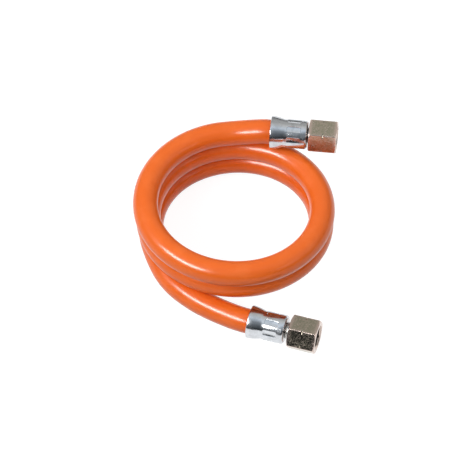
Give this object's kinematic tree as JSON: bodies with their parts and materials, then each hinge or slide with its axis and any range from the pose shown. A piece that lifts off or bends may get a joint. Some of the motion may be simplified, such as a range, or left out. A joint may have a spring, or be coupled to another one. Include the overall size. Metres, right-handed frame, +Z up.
{
  "type": "coiled gas hose",
  "caption": "Coiled flexible rubber gas hose with a crimped metal ferrule, a coned nipple and a swivelling hexagonal union nut at each end.",
  "frame": {"origin": "middle of the underside of the bounding box, on the surface that the coil lies on", "axes": "+Z up, along the coil's axis; +X to the right, roughly the way both union nuts point; +Y to the back, the side of the upper end"},
  "size_m": [0.11, 0.1362, 0.0472],
  "materials": {
    "orange_rubber": "smooth, glossy",
    "bright_zinc": "bright zinc plate",
    "turned_steel": "turned",
    "yellow_zinc": "yellow passivated zinc plate"
  },
  "bodies": {
    "hose": {"hose": "orange_rubber", "upper_ferrule": "bright_zinc", "lower_ferrule": "bright_zinc", "upper_nipple": "turned_steel", "lower_nipple": "turned_steel"},
    "upper_nut": {"upper_union_nut": "yellow_zinc"},
    "lower_nut": {"lower_union_nut": "yellow_zinc"}
  },
  "joints": [
    {"name": "upper_nut_spin", "type": "hinge", "parent": "hose", "child": "upper_nut", "pos_m": [0.03892, 0.0545, 0.038], "axis": [0.9936, -0.1132, 0], "continuous": true},
    {"name": "lower_nut_spin", "type": "hinge", "parent": "hose", "child": "lower_nut", "pos_m": [0.02822, -0.05464, 0.00885], "axis": [0.9588, -0.284, 0], "continuous": true}
  ]
}
